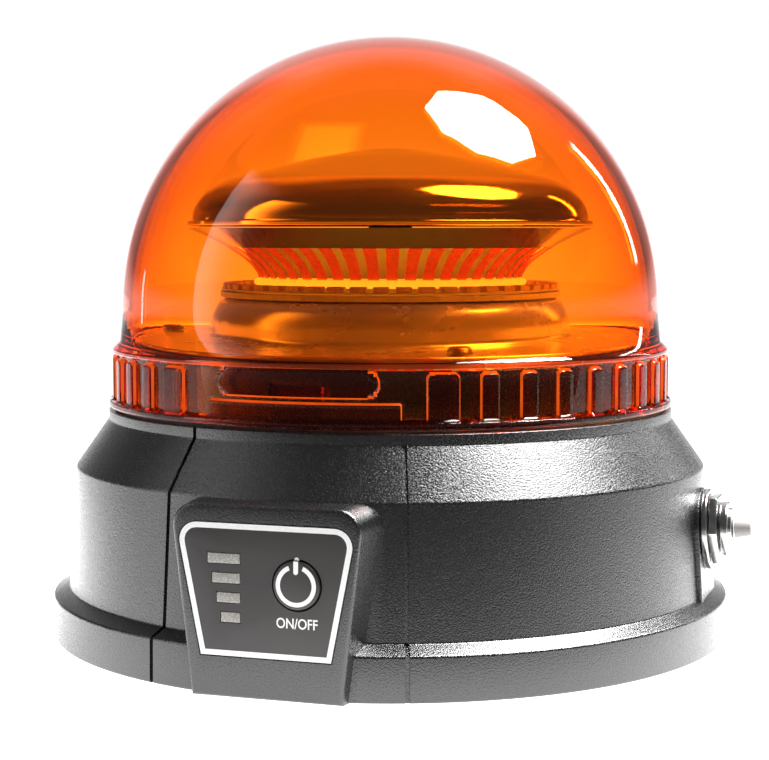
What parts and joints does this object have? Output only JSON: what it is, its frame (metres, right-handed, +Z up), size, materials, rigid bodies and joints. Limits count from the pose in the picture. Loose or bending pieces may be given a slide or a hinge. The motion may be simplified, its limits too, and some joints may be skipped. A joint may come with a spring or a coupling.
{
  "type": "led warning beacon",
  "caption": "Round magnetic warning beacon: an amber domed lens with a grip collar on a black housing with a push-button panel and a charging socket.",
  "frame": {"origin": "centre of the magnet boot's flat face, which the beacon stands on", "axes": "+Z up along the lens axis, -Y towards the control panel, +X towards the charging socket"},
  "size_m": [0.1558, 0.1516, 0.1315],
  "materials": {
    "housing_plastic": "fine spark-textured black moulded plastic",
    "panel_label": "smooth dark grey film and silicone",
    "level_window": "pale grey diffusing plastic",
    "amber_lens": "clear amber polycarbonate, polished",
    "optic_plastic": "clear moulded acrylic",
    "reflector_metal": "vacuum-metallised plastic",
    "socket_chrome": "nickel-plated brass",
    "steel": "zinc-plated steel",
    "magnet_ceramic": "sintered ferrite",
    "boot_rubber": "matt black rubber",
    "seal_rubber": "black silicone rubber",
    "contact_brass": "plated contact pin",
    "cell_wrap": "steel can in blue shrink wrap",
    "circuit_board": "green solder mask",
    "led_phosphor": "white packages with yellow phosphor",
    "wire": "red wire insulation"
  },
  "bodies": {
    "base": {"base_housing": "housing_plastic", "base_plate": "housing_plastic", "base_plate_seal": "seal_rubber", "base_screw_1": "steel", "base_screw_2": "steel", "base_screw_3": "steel", "base_screw_4": "steel", "magnet_cup": "steel", "ring_magnet": "magnet_ceramic", "magnet_boot": "boot_rubber", "magnet_screw": "steel", "magnet_nut": "steel", "panel_overlay": "panel_label", "tact_switch": "steel", "level_window_1": "level_window", "level_window_2": "level_window", "level_window_3": "level_window", "level_window_4": "level_window", "panel_board": "circuit_board", "socket_barrel": "socket_chrome", "socket_washer": "socket_chrome", "socket_nut": "socket_chrome", "socket_insulator": "seal_rubber", "socket_pin": "contact_brass", "battery_tray": "housing_plastic", "battery_cell_1": "cell_wrap", "battery_cell_2": "cell_wrap", "battery_cell_3": "cell_wrap", "control_board": "circuit_board", "battery_lead": "wire", "charge_lead": "wire", "panel_lead": "wire", "engine_lead": "wire", "engine_base": "reflector_metal", "led_board": "circuit_board", "led_ring": "led_phosphor", "horn_reflector": "reflector_metal", "light_cap": "optic_plastic", "light_cap_screw": "steel", "engine_screw_1": "steel", "engine_screw_2": "steel", "engine_screw_3": "steel", "dome_gasket": "seal_rubber"},
    "lens": {"dome": "amber_lens"},
    "button": {"power_button": "panel_label", "switch_plunger": "seal_rubber"},
    "cap": {"charge_cap": "socket_chrome", "cap_plug": "seal_rubber", "cap_pull": "seal_rubber"}
  },
  "joints": [
    {"name": "dome_twist", "type": "hinge", "parent": "base", "child": "lens", "pos_m": [0, 0, 0.0575], "axis": [0, 0, 1], "range_deg": [0, 20]},
    {"name": "button_press", "type": "slide", "parent": "base", "child": "button", "axis": [0, 1, 0], "range_m": [0, 0.0008], "stiffness_N_per_m": 1500},
    {"name": "cap_pull_off", "type": "slide", "parent": "base", "child": "cap", "axis": [0.9982, 0, 0.0593], "range_m": [0, 0.012]}
  ]
}
